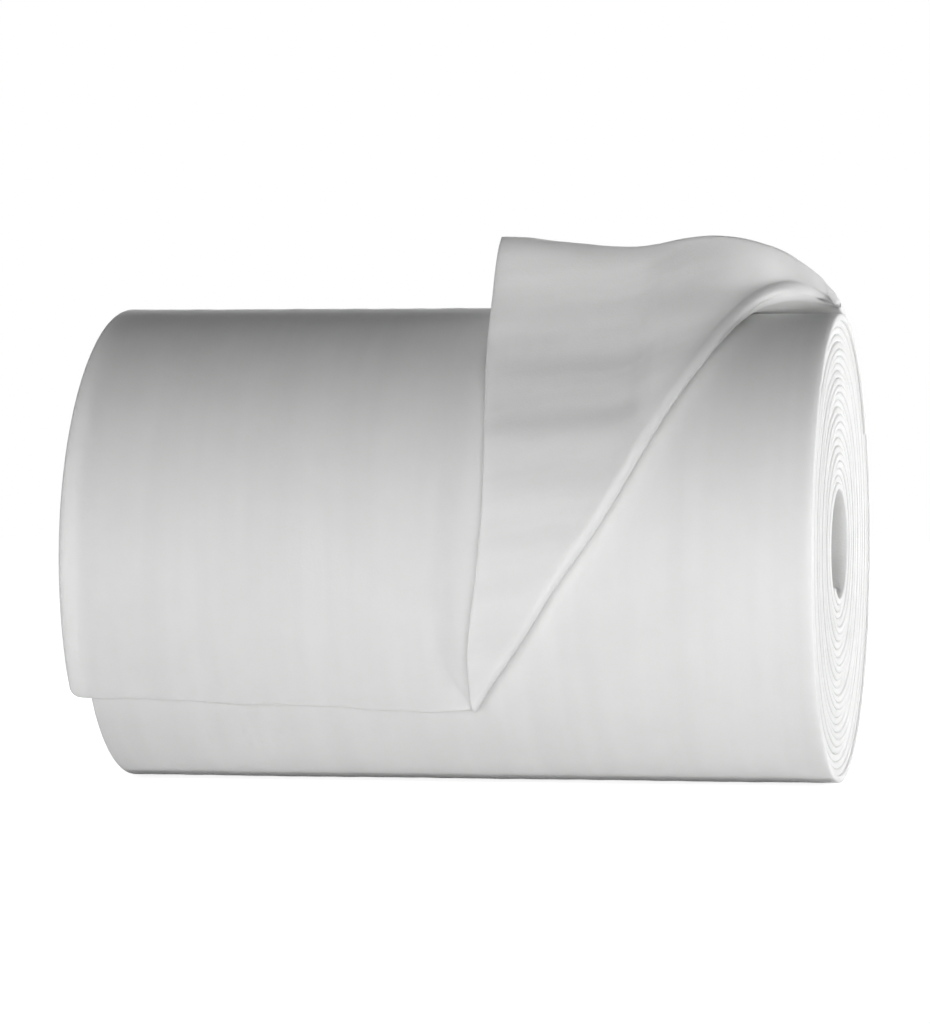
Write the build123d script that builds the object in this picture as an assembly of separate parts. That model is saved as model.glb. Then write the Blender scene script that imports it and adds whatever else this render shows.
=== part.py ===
"""A roll of closed-cell polyethylene foam sheet, lying on its side with its loose corner folded back.

X runs along the roll, the front is -Y and Z is up. The origin is on the bore's axis at mid-width.
Angles round the roll are in degrees, from 0 at the front through 90 at the top to 180 at the back.
"""

from build123d import *
import os
from math import cos, degrees, exp, hypot, pi, radians, sin

os.makedirs("parts", exist_ok=True)

# The sheet and the roll that it is wound into
sheet_width = 500.0
sheet_thickness = 5.0
wound_diameter = 325.0  # over the turns below the outermost one
bore_diameter = 76.0
turn_count = 25
turn_creep = 1.6  # the most by which a turn's edge lies below the roll's end
creep_step = 1.3  # radians from one turn to the next in the wave that the creep follows

# The outermost turn
free_end_angle = -45.0
turn_lift = 0.4  # how far it stands off the turn below it where it begins
turn_slack = 4.0  # how far it stands off more, round the free end, where nothing pulls it tight
slack_below = 35.0  # degrees over which it gets tight again under the free end
slack_above = 20.0  # the same above the free end
start_angle = 60.0  # how far past the free end it begins, under itself
corner_overhang = 12.0  # how far the free end's left corner has crept past the roll's end
side_overhang = 4.0  # how far the turn's left side has crept out at the top
arc_angle = 15.0  # of each arc that it is drawn with
creep_angle = 180.0  # the stretch, back from the free end, over which that side creeps back in
corner_rounding = 6.0

# The fold that turns the right half of the free end back
fold_tip = 18.0  # where it starts on the free end, from mid-width
fold_climb = 109.0  # how far round the roll its straight run would take it
fold_late_climb = 40.0  # how much further it turns up near the right end
fold_gap = 1.2  # between the flap and the turn that it lies on
fold_seat = 0.8  # how deep the folded sheet starts in the turn that it belongs to
seat_angle = 8.0  # how far back from the bend it starts where it lies flat

# The arch that the fold rises into near the right end
arch_start = 0.55  # share of the fold after which it leaves the roll
arch_end = 1.1  # share at which it would be down again, past the roll's end
arch_lift = 14.0
arch_radius = 9.0  # of the bend, to the middle of the sheet
arch_angle = 24.0  # how much further back the sheet leaves the roll
unbend_start = 0.78  # share of the fold after which the bend is less than a half turn
least_bend_turn = 30.0
most_slant = 2.6  # the most that the fold's slant stretches the bend's cut outline
parting_steps = 6  # stretches of the line along which the sheet leaves the roll

# The flap
leave_angle = 28.0  # where it leaves the roll and stands up straight
leg_pull = 0.4  # how strongly it keeps the bend's heading where it never lies on the roll
seat_steps = 2  # flat stretches that its cut outline is drawn with, in its seat
bend_steps = 6  # the same in the bend
leg_steps = 16  # the same from the bend to the upper edge
flap_stations = 18  # stretches along the fold
corner_setback = 66.0  # of its upper left corner, in front of the bore's axis
edge_end_setback = 30.0  # of its upper edge's right end, behind the bore's axis
side_bow = 18.0  # how far its left side bows in from the fold's tip
corner_inset = 9.0  # how far its upper left corner stands in from the fold's tip
edge_heights = {0.0: 54.0, 0.23: 47.5, 0.45: 44.0, 0.65: 51.0, 0.8: 43.0, 0.91: 27.0, 1.0: 4.0}

wound_radius = wound_diameter / 2
bore_radius = bore_diameter / 2
half_width = sheet_width / 2
fold_run = half_width - fold_tip


def around(radius, angle):
    """The (y, z) place on a circle about the bore."""
    return Vector(-radius * cos(radians(angle)), radius * sin(radians(angle)))


def turn_radius(angle):
    """The outer radius of the outermost turn: it loses one thickness in a full turn."""
    from_end = (angle - free_end_angle + 180) % 360 - 180
    spread = slack_above if from_end > 0 else slack_below
    slack = turn_slack * exp(-((from_end / spread) ** 2))
    return wound_radius + turn_lift + slack + sheet_thickness * (1 - (angle - free_end_angle) / 360)


def wound_body():
    """The wound turns as one turned solid. On both ends each turn's edge has crept in or out a little."""
    pitch = (wound_radius - bore_radius) / turn_count
    right = []
    for turn in range(turn_count + 1):
        creep = turn_creep * (1 - cos(turn * creep_step)) / 2
        right.append((half_width - creep, bore_radius + turn * pitch))
    left = [(-x, r) for x, r in reversed(right)]
    profile = make_face(Polyline(*right, *left, close=True))
    return revolve(profile, Axis.X, 360)


def turn_stretch(start, end, overhang):
    """The outermost turn between two angles, seated in the turns below it."""
    steps = max(1, round((end - start) / arc_angle))
    angles = [start + (end - start) * i / (2 * steps) for i in range(2 * steps + 1)]
    outer = [around(turn_radius(a), a) for a in angles]
    inner = [around(wound_radius - fold_seat, a) for a in angles]
    sides = [ThreePointArc(*outer[i : i + 3]) for i in range(0, 2 * steps, 2)]
    sides += [ThreePointArc(*inner[i : i + 3]) for i in range(0, 2 * steps, 2)]
    section = make_face([*sides, Line(outer[0], inner[0]), Line(outer[-1], inner[-1])])
    return extrude(Plane.YZ.offset(-half_width - overhang) * section, sheet_width + overhang)


def fold_angle(share):
    """The angle of the fold at a share of its way from the tip to the right end."""
    return free_end_angle + fold_climb * share + fold_late_climb * share**6


def lift_share(share):
    """How far the bend has risen off the roll, from 0 to 1."""
    if share <= arch_start:
        return 0.0
    return sin(pi * (share - arch_start) / (arch_end - arch_start))


def bend_radius(share):
    """From the least that clears the turn below, up to the arch's."""
    least = (sheet_thickness + fold_gap + fold_seat) / 2
    return least + (arch_radius - least) * share**2


def bend_angle(share):
    """The angle of the bend's centre, one outer bend radius behind the fold's line."""
    reach = (bend_radius(share) + sheet_thickness / 2) * slant(share)
    return fold_angle(share) + degrees(reach / wound_radius)


def parting_angle(share):
    """The angle at which the sheet leaves the roll on its way to the bend."""
    return bend_angle(share) + seat_angle / 2 + arch_angle * lift_share(share)


def bend_turn(share):
    """How far the bend turns the sheet, in degrees: less than half a turn near the right end."""
    past = max(0.0, (share - unbend_start) / (1 - unbend_start))
    return 180 - (180 - least_bend_turn) * past


def edge_height(share):
    """The height of the flap's upper edge over the wound turns, smooth through its chosen places."""
    places = sorted(edge_heights)
    last = len(places) - 1
    i = max(j for j in range(last) if places[j] <= share)
    slopes = []
    for j in (i, i + 1):
        low, high = places[max(0, j - 1)], places[min(last, j + 1)]
        slopes.append((edge_heights[high] - edge_heights[low]) / (high - low))
    run = places[i + 1] - places[i]
    part = (share - places[i]) / run
    straight = edge_heights[places[i]] * (1 - part) + edge_heights[places[i + 1]] * part
    rise = (edge_heights[places[i + 1]] - edge_heights[places[i]]) / run
    bulge = (slopes[0] - rise) * (1 - part) - (slopes[1] - rise) * part
    return straight + bulge * run * part * (1 - part)


def leg_line(share, start, heading):
    """The middle of the flap across the roll, from the end of the bend to its upper edge."""
    angle = bend_angle(share)
    behind = (corner_setback + edge_end_setback) * share**3 - corner_setback
    edge = Vector(behind, wound_radius + edge_height(share))
    if angle > leave_angle:
        pull = start + heading * (edge - start).length * leg_pull
        parts = [i / leg_steps for i in range(leg_steps + 1)]
        return [start * (1 - p) ** 2 + pull * 2 * p * (1 - p) + edge * p**2 for p in parts]
    radius = turn_radius(leave_angle) + fold_gap + sheet_thickness / 2
    leave = around(radius, leave_angle)
    lying = radians(leave_angle - angle) * radius
    lying_steps = max(1, round(leg_steps * lying / (lying + (edge - leave).length)))
    line = []
    for step in range(lying_steps):
        left = 1 - step / lying_steps
        at = leave_angle + (angle - leave_angle) * left
        line.append(around(radius + (start.length - radius) * left**2, at))
    standing_steps = leg_steps - lying_steps
    for step in range(standing_steps + 1):
        line.append(leave + (edge - leave) * (step / standing_steps))
    return line


def beside(line, first, last, distance):
    """The points at a distance to the left of a line, given its directions at both ends."""
    points = []
    for i, here in enumerate(line):
        if i in (0, len(line) - 1):
            along = last if i else first
        else:
            before, after = here - line[i - 1], line[i + 1] - here
            along = before * (after.length / before.length) + after * (before.length / after.length)
        along = along.normalized()
        points.append(here + Vector(-along.Y, along.X) * distance)
    return points


def slant(share):
    """How much longer a cut across the roll makes the bend than a cut square to the fold does."""
    step = 0.01
    climb = radians(fold_angle(share + step) - fold_angle(share)) * wound_radius
    return min(hypot(climb, fold_run * step) / (fold_run * step), most_slant)


def sheet_outline(share):
    """The folded sheet cut across the roll: the points round its seat, the bend and the flap."""
    angle = bend_angle(share)
    start = parting_angle(share) + seat_angle / 2
    rise = arch_lift * lift_share(share)
    seat_radius = turn_radius(angle) - sheet_thickness / 2 - fold_seat
    outward, ahead = around(1, angle), around(1, angle - 90) * slant(share)
    centre = outward * (seat_radius + rise + bend_radius(share))
    turned = radians(bend_turn(share))
    leaving = (ahead * cos(turned) + outward * sin(turned)).normalized()

    seat = []
    for step in range(seat_steps + 1):
        part = step / seat_steps
        seat.append(around(seat_radius + rise * part**2, start + (angle - start) * part))
    sides = []
    for distance in (sheet_thickness / 2, -sheet_thickness / 2):
        radius = bend_radius(share) + distance
        bends = [turned * step / bend_steps for step in range(bend_steps + 1)]
        bend = [centre - outward * radius * cos(turn) + ahead * radius * sin(turn) for turn in bends]
        middle = centre + (ahead * sin(turned) - outward * cos(turned)) * bend_radius(share)
        leg = leg_line(share, middle, leaving)
        lower = beside(seat, around(1, start - 90), ahead, distance)[:-1]
        upper = beside(leg, leaving, leg[-1] - leg[-2], distance)[1:]
        sides.append([*lower, *bend, *upper])
    x = fold_tip + fold_run * share
    return [Vector(x, point.X, point.Y) for point in [*sides[0], *reversed(sides[1])]]


def skin(outlines):
    """A closed solid whose skin runs through a row of outlines, point to point."""
    faces = [Face(Wire.make_polygon(outline)) for outline in (outlines[0], outlines[-1])]
    for one, other in zip(outlines, outlines[1:]):
        for i, here in enumerate(one):
            faces.append(Face(Wire.make_polygon([one[i - 1], here, other[i]])))
            faces.append(Face(Wire.make_polygon([one[i - 1], other[i], other[i - 1]])))
    return Solid(Shell(faces))


def flap():
    """The folded sheet, its skin run through its cut outlines, with its left side bowed."""
    top = wound_radius + max(edge_heights.values()) + 2 * sheet_thickness
    below = (fold_tip, -top)
    tip = (fold_tip, wound_radius * sin(radians(free_end_angle)))
    middle = (fold_tip + side_bow, wound_radius * sin(radians(leave_angle)) / 2)
    corner = (fold_tip + corner_inset, top)
    far = [(sheet_width, top), (sheet_width, -top)]
    bowed = [Line(below, tip), ThreePointArc(tip, middle, corner)]
    window = make_face([*bowed, Polyline(corner, *far, below)])
    sheet = skin([sheet_outline(i / flap_stations) for i in range(flap_stations + 1)])
    return sheet & extrude(Plane.XZ * window, top, both=True)


def share_at(angle):
    """The share of the fold at which the sheet leaves the roll at an angle."""
    low, high = 0.0, 1.0
    near = 1e-6
    while high - low > near:
        middle = (low + high) / 2
        low, high = (middle, high) if parting_angle(middle) < angle else (low, middle)
    return low


def lifted(first, last, end, towards):
    """The room beyond the line where the sheet leaves the roll, on the front or the back half."""
    line = []
    for step in range(parting_steps + 1):
        share = first + (last - first) * step / parting_steps
        angle = parting_angle(share)
        line.append((fold_tip + fold_run * share, turn_radius(angle) * sin(radians(angle))))
    outline = make_face([Spline(*line), Polyline(line[-1], *end, line[0])])
    return extrude(Plane.XZ * outline, towards * wound_diameter)


def outer_turn():
    """The outermost turn, crept out on the left and without what the fold has lifted off the roll."""
    halfway = free_end_angle + creep_angle
    turn = turn_stretch(free_end_angle, halfway, 2 * corner_overhang)
    places = ((corner_overhang, free_end_angle), (side_overhang, 90), (0, halfway))
    rims = [(out, around(wound_radius, angle)) for out, angle in places]
    corner, top, back = [Vector(-half_width - out, rim.X, rim.Y) for out, rim in rims]
    side = Plane(corner, x_dir=top - corner, z_dir=(top - corner).cross(back - corner))
    turn = split(turn, bisect_by=side, keep=Keep.TOP if side.z_dir.X > 0 else Keep.BOTTOM)
    corner_edge = turn.edges().sort_by_distance(corner)[0]
    turn = fillet(corner_edge, corner_rounding)

    reach = wound_diameter
    crown = share_at(90)
    crown_x = fold_tip + fold_run * crown
    turn -= lifted(0, crown, [(crown_x, reach), (reach, reach), (reach, -reach), (fold_tip, -reach)], 1)
    turn -= lifted(crown, 1, [(reach, wound_radius / 2), (reach, reach), (crown_x, reach)], -1)
    return turn + turn_stretch(halfway, free_end_angle + 360 + start_angle, 0)


foam_roll = wound_body() + outer_turn() + flap()
foam_roll.label = "foam_roll"
export_step(foam_roll, "parts/foam_roll.step")
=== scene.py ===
"""A roll of white foam sheet lying on its side, with its loose corner folded back.

Everything is in metres in the part's own frame: X runs along the roll, the front is -Y, Z is up,
and the origin is on the bore's axis at mid-width. Angles round the roll are in degrees, from 0 at
the front through 90 at the top. The sheet winds outwards as the angle falls, and its free end is
at the front, low down.
"""

import logging
import math
from dataclasses import dataclass
from enum import Enum

import bpy
import numpy as np
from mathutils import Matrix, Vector


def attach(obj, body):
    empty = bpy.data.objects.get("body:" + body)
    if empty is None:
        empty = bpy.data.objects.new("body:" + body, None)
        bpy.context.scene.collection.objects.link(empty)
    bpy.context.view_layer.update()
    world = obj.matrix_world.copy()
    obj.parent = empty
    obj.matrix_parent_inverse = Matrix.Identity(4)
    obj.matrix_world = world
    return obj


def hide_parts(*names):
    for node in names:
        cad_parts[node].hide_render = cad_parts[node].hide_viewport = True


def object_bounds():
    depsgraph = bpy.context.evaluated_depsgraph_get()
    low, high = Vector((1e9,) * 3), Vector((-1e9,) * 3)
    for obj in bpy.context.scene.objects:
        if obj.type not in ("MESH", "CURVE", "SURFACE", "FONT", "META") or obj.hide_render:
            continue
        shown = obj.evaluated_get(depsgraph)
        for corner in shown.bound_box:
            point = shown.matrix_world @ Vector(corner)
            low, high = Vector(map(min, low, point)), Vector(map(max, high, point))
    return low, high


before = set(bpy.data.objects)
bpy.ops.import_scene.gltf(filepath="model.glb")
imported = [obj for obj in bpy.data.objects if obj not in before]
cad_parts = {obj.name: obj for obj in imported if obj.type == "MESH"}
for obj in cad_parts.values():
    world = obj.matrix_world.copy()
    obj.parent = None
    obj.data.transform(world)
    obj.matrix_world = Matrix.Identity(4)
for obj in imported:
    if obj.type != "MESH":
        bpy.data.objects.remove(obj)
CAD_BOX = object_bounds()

logging.basicConfig(level=logging.INFO, format="%(name)s: %(message)s")
log = logging.getLogger("foam_roll")

BODY = "root"
NODE = "foam_roll"
WHITE = (1.0, 1.0, 1.0, 1.0)


class RollEnd(Enum):
    """The two ends of the roll, as the sign of X."""

    LEFT = -1
    RIGHT = 1


class FoamFace(Enum):
    """Which face of the foam a finish is for."""

    SKIN = "foam_skin"
    CUT_EDGE = "foam_cut_edge"


def smooth(value: np.ndarray | float, low: float, high: float) -> np.ndarray | float:
    """Ease from 0 at low to 1 at high.

    Args:
        value: The numbers to ease.
        low: Where the result leaves 0.
        high: Where it reaches 1.

    Returns:
        The eased numbers, from 0 to 1.
    """
    part = np.clip((value - low) / (high - low), 0.0, 1.0)
    return part * part * (3.0 - 2.0 * part)


def along_curve(value: np.ndarray | float, points: tuple[tuple[float, float], ...]) -> np.ndarray:
    """Read a smooth curve through chosen points.

    Args:
        value: Where to read the curve.
        points: The curve's rising places, each with its height.

    Returns:
        The heights at value, from cubic pieces that join without a kink.
    """
    at, high = np.array(points).T
    slopes = np.gradient(high, at)
    i = np.clip(np.searchsorted(at, value, side="right") - 1, 0, len(at) - 2)
    run = at[i + 1] - at[i]
    part = np.clip((value - at[i]) / run, 0.0, 1.0)
    rise = (high[i + 1] - high[i]) / run
    straight = high[i] * (1 - part) + high[i + 1] * part
    bulge = (slopes[i] - rise) * (1 - part) - (slopes[i + 1] - rise) * part
    return straight + bulge * run * part * (1 - part)


@dataclass(frozen=True)
class Winding:
    """How the sheet is wound, shared by the pieces of the roll. The sizes are the part's own.

    Attributes:
        sheet_width: The roll's length from end to end.
        sheet_thickness: Of the foam.
        face_gap: Air between two turns, which lets each turn show.
        wound_radius: Of the roll without its outermost turn's lift.
        bore_radius: Of the open middle.
        turn_lift: How far the outermost turn stands off all round.
        turn_slack: How much further it stands off at the free end.
        slack_below: Degrees over which that fades, under the free end.
        slack_above: The same above it.
        turn_creep: How deep the wave on the roll's ends is.
        creep_step: How far that wave goes on in a turn, in radians.
        turn_pitch: From one turn to the next.
        free_end_angle: Where the free end is in the solid.
        joint_angle: Where the outermost turn's piece begins, counted on from the free end.
    """

    sheet_width: float = 0.500
    sheet_thickness: float = 0.005
    face_gap: float = 0.00022
    wound_radius: float = 0.1625
    bore_radius: float = 0.038
    turn_lift: float = 0.0004
    turn_slack: float = 0.004
    slack_below: float = 35.0
    slack_above: float = 20.0
    turn_creep: float = 0.0016
    creep_step: float = 1.3
    turn_pitch: float = 0.00498
    free_end_angle: float = -45.0
    joint_angle: float = 510.0

    def slack(self, angle: np.ndarray | float) -> np.ndarray | float:
        """How far the outermost turn stands off round the free end, where nothing pulls it tight.

        Args:
            angle: Degrees counted on from the free end's place.

        Returns:
            The way out in metres.
        """
        from_end = (angle - self.free_end_angle + 180.0) % 360.0 - 180.0
        spread = np.where(from_end > 0, self.slack_above, self.slack_below)
        return self.turn_slack * np.exp(-((from_end / spread) ** 2))

    def outer_radius(self, angle: np.ndarray | float) -> np.ndarray | float:
        """The outer radius of the layer at an angle counted on from the free end."""
        lost = self.sheet_thickness * (1 - (angle - self.free_end_angle) / 360)
        return self.wound_radius + self.turn_lift + lost + self.slack(angle)

    def middle_radius(self, angle: np.ndarray | float) -> np.ndarray | float:
        """The radius of the middle of the sheet at an angle."""
        return self.outer_radius(angle) - self.sheet_thickness / 2


class Tree:
    """A node tree with helpers that keep its building short."""

    def __init__(self, group: bpy.types.NodeTree) -> None:
        """Take over a node tree.

        Args:
            group: Blender's own tree.
        """
        self.group = group

    def node(self, kind: str, settings: dict | None = None, **links) -> bpy.types.Node:
        """Add a node.

        Args:
            kind: The node's type name.
            settings: Properties to set on it.
            **links: Input sockets by name, with _ for a space, or i0, i1 by index. Each is a
                socket to link or a value to set.

        Returns:
            The node.
        """
        made = self.group.nodes.new(kind)
        for name, value in (settings or {}).items():
            setattr(made, name, value)
        for name, value in links.items():
            by_index = name[0] == "i" and name[1:].isdigit()
            where = made.inputs[int(name[1:]) if by_index else name.replace("_", " ")]
            if isinstance(value, bpy.types.NodeSocket):
                self.group.links.new(value, where)
            else:
                where.default_value = value
        return made

    def math(self, operation: str, *values) -> bpy.types.NodeSocket:
        """The result of a math node on sockets or numbers."""
        links = {f"i{i}": value for i, value in enumerate(values)}
        return self.node("ShaderNodeMath", {"operation": operation}, **links).outputs[0]


class ShapeTree(Tree):
    """A geometry node tree with named inputs."""

    def __init__(self, name: str) -> None:
        """Start an empty tree of that name."""
        super().__init__(bpy.data.node_groups.new(name, "GeometryNodeTree"))
        self.sockets: dict[str, str] = {}
        self.source = self.group.nodes.new("NodeGroupInput")
        self.end = self.group.nodes.new("NodeGroupOutput")
        self.group.interface.new_socket("Geometry", in_out="OUTPUT", socket_type="NodeSocketGeometry")

    def take(self, name: str, kind: str = "NodeSocketFloat") -> None:
        """Add a named input of that kind."""
        socket = self.group.interface.new_socket(name, in_out="INPUT", socket_type=kind)
        self.sockets[name] = socket.identifier

    def given(self, name: str) -> bpy.types.NodeSocket:
        """The socket that carries a named input."""
        return self.source.outputs[name]

    def finish(self, geometry: bpy.types.NodeSocket) -> None:
        """Link the geometry to the tree's output."""
        self.group.links.new(geometry, self.end.inputs[0])


def shading(owner: bpy.types.Material | bpy.types.World) -> Tree:
    """Turn on a material's or a world's nodes.

    Args:
        owner: The material or world.

    Returns:
        Its node tree, emptied.
    """
    owner.use_nodes = True
    owner.node_tree.nodes.clear()
    return Tree(owner.node_tree)


def seen_directly(tree: Tree) -> bpy.types.NodeSocket:
    """Tell the rays that show a thing as it is from those that light others with it.

    Args:
        tree: The node tree that asks.

    Returns:
        1 for the camera's rays, mirrored rays and rays through glass, or else 0.
    """
    path = tree.node("ShaderNodeLightPath").outputs
    mirrored = tree.math("MAXIMUM", path["Is Glossy Ray"], path["Is Transmission Ray"])
    return tree.math("MAXIMUM", path["Is Camera Ray"], mirrored)


@dataclass(frozen=True)
class FoamFinish:
    """White closed-cell polyethylene foam: matte, slightly translucent, with fine cells.

    Attributes:
        colour: The foam's own colour.
        shade: A slightly denser foam, for the bands and clouds in it.
        roughness: Of the skin.
        cell_size: Width of a cell, in metres.
        band_width: Width of the soft bands that run along the sheet, in metres.
        glow: How much light goes through the foam, from 0 to 1.
        glow_depth: How far the light goes, in metres.
    """

    colour: tuple[float, float, float] = (0.92, 0.925, 0.915)
    shade: tuple[float, float, float] = (0.865, 0.872, 0.86)
    roughness: float = 0.62
    cell_size: float = 0.0016
    band_width: float = 0.021
    glow: float = 1.0
    glow_depth: float = 0.009

    def material(self, face: FoamFace) -> bpy.types.Material:
        """Build the foam's material.

        Args:
            face: Whether the skin's bands or the cut edge's open cells are drawn.

        Returns:
            The node-based material.
        """
        mat = bpy.data.materials.new(face.value)
        tree = shading(mat)
        place = tree.node("ShaderNodeTexCoord").outputs
        if face is FoamFace.SKIN:
            where, stretch, relief = place["UV"], (1.0 / self.band_width, 2.4, 1.0), 0.16
        else:
            where, stretch, relief = place["Object"], (30.0, 60.0, 60.0), 0.4
        stretched = tree.node("ShaderNodeMapping", Vector=where, Scale=stretch).outputs[0]
        banded = {"Vector": stretched, "Scale": 1.0, "Detail": 2.0, "Roughness": 0.45}
        bands = tree.node("ShaderNodeTexNoise", **banded).outputs["Fac"]
        clouded = {"Vector": place["Object"], "Scale": 16.0, "Detail": 4.0}
        clouds = tree.node("ShaderNodeTexNoise", **clouded).outputs["Fac"]
        ramp = tree.node("ShaderNodeValToRGB", Fac=tree.math("MULTIPLY", bands, clouds))
        low, high = ramp.color_ramp.elements
        low.position, low.color = 0.12, (*self.shade, 1.0)
        high.position, high.color = 0.36, (*self.colour, 1.0)

        cells = tree.node(
            "ShaderNodeTexVoronoi",
            {"feature": "SMOOTH_F1"},
            Vector=place["Object"],
            Scale=1.0 / self.cell_size,
            Smoothness=0.6,
        )
        pitted = {"Strength": relief, "Distance": 0.0003, "Height": cells.outputs["Distance"]}
        fine = tree.node("ShaderNodeBump", **pitted).outputs[0]
        soft = tree.node("ShaderNodeBump", Strength=0.5, Distance=0.0009, Height=bands, Normal=fine)
        foam = tree.node(
            "ShaderNodeBsdfPrincipled",
            Base_Color=ramp.outputs["Color"],
            Normal=soft.outputs[0],
            Roughness=self.roughness,
            IOR=1.4,
            Specular_IOR_Level=0.3,
            Subsurface_Weight=self.glow,
            Subsurface_Radius=(1.0, 1.0, 1.0),
            Subsurface_Scale=self.glow_depth,
        )
        tree.node("ShaderNodeOutputMaterial", Surface=foam.outputs[0])
        return mat


def plain_mesh(obj: bpy.types.Object, name: str) -> bpy.types.Object:
    """Replace an object that has live modifiers by one with the resulting plain mesh.

    Args:
        obj: The object to evaluate. It is removed.
        name: The new object's name.

    Returns:
        The new object, at the origin.
    """
    graph = bpy.context.evaluated_depsgraph_get()
    mesh = bpy.data.meshes.new_from_object(obj.evaluated_get(graph), depsgraph=graph)
    for modifier in list(obj.modifiers):
        obj.modifiers.remove(modifier)
    bpy.data.objects.remove(obj)
    mesh.name = name
    made = bpy.data.objects.new(name, mesh)
    bpy.context.scene.collection.objects.link(made)
    return made


@dataclass
class WoundTurns:
    """The sheet wound in one spiral from the bore to the joint under the outermost turn.

    Attributes:
        winding: How the sheet is wound.
        steps_per_turn: Stretches that a turn is drawn with.
        edge_rounding: Of the cut edges, which shows each turn on the roll's ends.
        wander: How far a turn's edge strays from the creep's wave at most.
        bore_squeeze: How much the bore has flattened, as a share.
        seed: For the turns' wander.
    """

    winding: Winding
    steps_per_turn: int = 84
    edge_rounding: float = 0.0012
    wander: float = 0.0005
    bore_squeeze: float = 0.055
    seed: float = 3.7

    def turns(self) -> float:
        """How many turns there are between the bore and the joint."""
        w = self.winding
        return (w.middle_radius(w.joint_angle) - w.bore_radius - w.sheet_thickness / 2) / w.sheet_thickness

    def sizes(self) -> dict[str, float]:
        """Give the node tree's sizes.

        Returns:
            The value of each of the tree's number inputs, by name.
        """
        w = self.winding
        return {
            "Inner Radius": w.bore_radius + w.sheet_thickness / 2,
            "Outer Radius": w.middle_radius(w.joint_angle),
            "Turns": self.turns(),
            "Sheet Width": w.sheet_width,
            "Sheet Thickness": w.sheet_thickness - w.face_gap,
            "Edge Rounding": self.edge_rounding,
            "Wander": self.wander,
            "Creep": w.turn_creep,
            "Creep Step": w.creep_step,
            "Turn Pitch": w.turn_pitch,
            "Bore Radius": w.bore_radius,
            "Free End": w.free_end_angle,
            "Slack": w.turn_slack,
            "Slack Below": w.slack_below,
            "Slack Above": w.slack_above,
            "Bore Squeeze": self.bore_squeeze,
            "Spin": math.radians(180.0 - w.joint_angle - 360.0 * self.turns()),
            "Seed": self.seed,
        }

    def tree(self) -> ShapeTree:
        """Build the node tree that sweeps the sheet's section along the spiral.

        Returns:
            The tree, with its sizes as named inputs.
        """
        tree = ShapeTree("wound_sheet")
        for name in self.sizes():
            tree.take(name)
        tree.take("Steps per Turn", "NodeSocketInt")
        tree.take("Foam", "NodeSocketMaterial")

        spiral = tree.node(
            "GeometryNodeCurveSpiral",
            Resolution=tree.given("Steps per Turn"),
            Rotations=tree.given("Turns"),
            Start_Radius=tree.given("Inner Radius"),
            End_Radius=tree.given("Outer Radius"),
            Height=0.0,
            Reverse=True,
        )
        upright = tree.node("GeometryNodeSetCurveNormal", {"mode": "Z_UP"}, i0=spiral.outputs[0])
        counted = self.count_turns(tree, upright.outputs[0])
        section = tree.node(
            "GeometryNodeCurvePrimitiveQuadrilateral",
            {"mode": "RECTANGLE"},
            Width=tree.given("Sheet Thickness"),
            Height=tree.given("Sheet Width"),
        )
        rounded = self.fillet(tree, section.outputs[0])
        swept = tree.node(
            "GeometryNodeCurveToMesh",
            Curve=counted.outputs[0],
            Profile_Curve=rounded.outputs[0],
            Fill_Caps=True,
        )
        turned = tree.node("GeometryNodeTransform", Geometry=swept.outputs[0])
        spin = tree.node("ShaderNodeCombineXYZ", Z=tree.given("Spin"))
        tree.group.links.new(spin.outputs[0], turned.inputs["Rotation"])
        laid = tree.node(
            "GeometryNodeTransform", Geometry=turned.outputs[0], Rotation=(math.pi / 2, 0.0, math.pi / 2)
        )
        shaped = self.shape(tree, laid.outputs[0], counted.outputs[1])
        real = tree.node("GeometryNodeRealizeInstances", i0=shaped.outputs[0])
        soft = tree.node("GeometryNodeSetShadeSmooth", i0=real.outputs[0])
        dressed = tree.node("GeometryNodeSetMaterial", i0=soft.outputs[0], Material=tree.given("Foam"))
        tree.finish(dressed.outputs[0])
        return tree

    def fillet(self, tree: ShapeTree, section: bpy.types.NodeSocket) -> bpy.types.Node:
        """Round the section's corners with three short stretches each.

        Args:
            tree: The tree.
            section: The sheet's section.

        Returns:
            The node with the rounded section.
        """
        node = tree.group.nodes.new("GeometryNodeFilletCurve")
        if "Mode" in node.inputs:
            node.inputs["Mode"].default_value = "Poly"
        else:
            node.mode = "POLY"
        tree.group.links.new(section, node.inputs[0])
        node.inputs["Count"].default_value = 3
        tree.group.links.new(tree.given("Edge Rounding"), node.inputs["Radius"])
        return node

    def count_turns(self, tree: ShapeTree, curve: bpy.types.NodeSocket) -> bpy.types.Node:
        """Keep, for each point of the spiral, how many turns it is from the bore.

        Args:
            tree: The tree.
            curve: The spiral.

        Returns:
            The capture node: output 0 is the curve, output 1 the number of turns.
        """
        keep = tree.group.nodes.new("GeometryNodeCaptureAttribute")
        keep.capture_items.new("FLOAT", "Turn")
        tree.group.links.new(curve, keep.inputs[0])
        index = tree.node("GeometryNodeInputIndex").outputs[0]
        turn = tree.math("DIVIDE", index, tree.given("Steps per Turn"))
        tree.group.links.new(turn, keep.inputs[1])
        return keep

    def shape(
        self, tree: ShapeTree, mesh: bpy.types.NodeSocket, turn: bpy.types.NodeSocket
    ) -> bpy.types.Node:
        """Let each turn's edges stand in a little from the ends, and flatten the bore.

        Args:
            tree: The tree.
            mesh: The swept sheet, lying along X.
            turn: Turns from the bore, for each point.

        Returns:
            The node that sets the points' places.
        """
        place = tree.node("GeometryNodeInputPosition").outputs[0]
        parts = tree.node("ShaderNodeSeparateXYZ", i0=place)
        x, y, z = parts.outputs[0], parts.outputs[1], parts.outputs[2]

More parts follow.
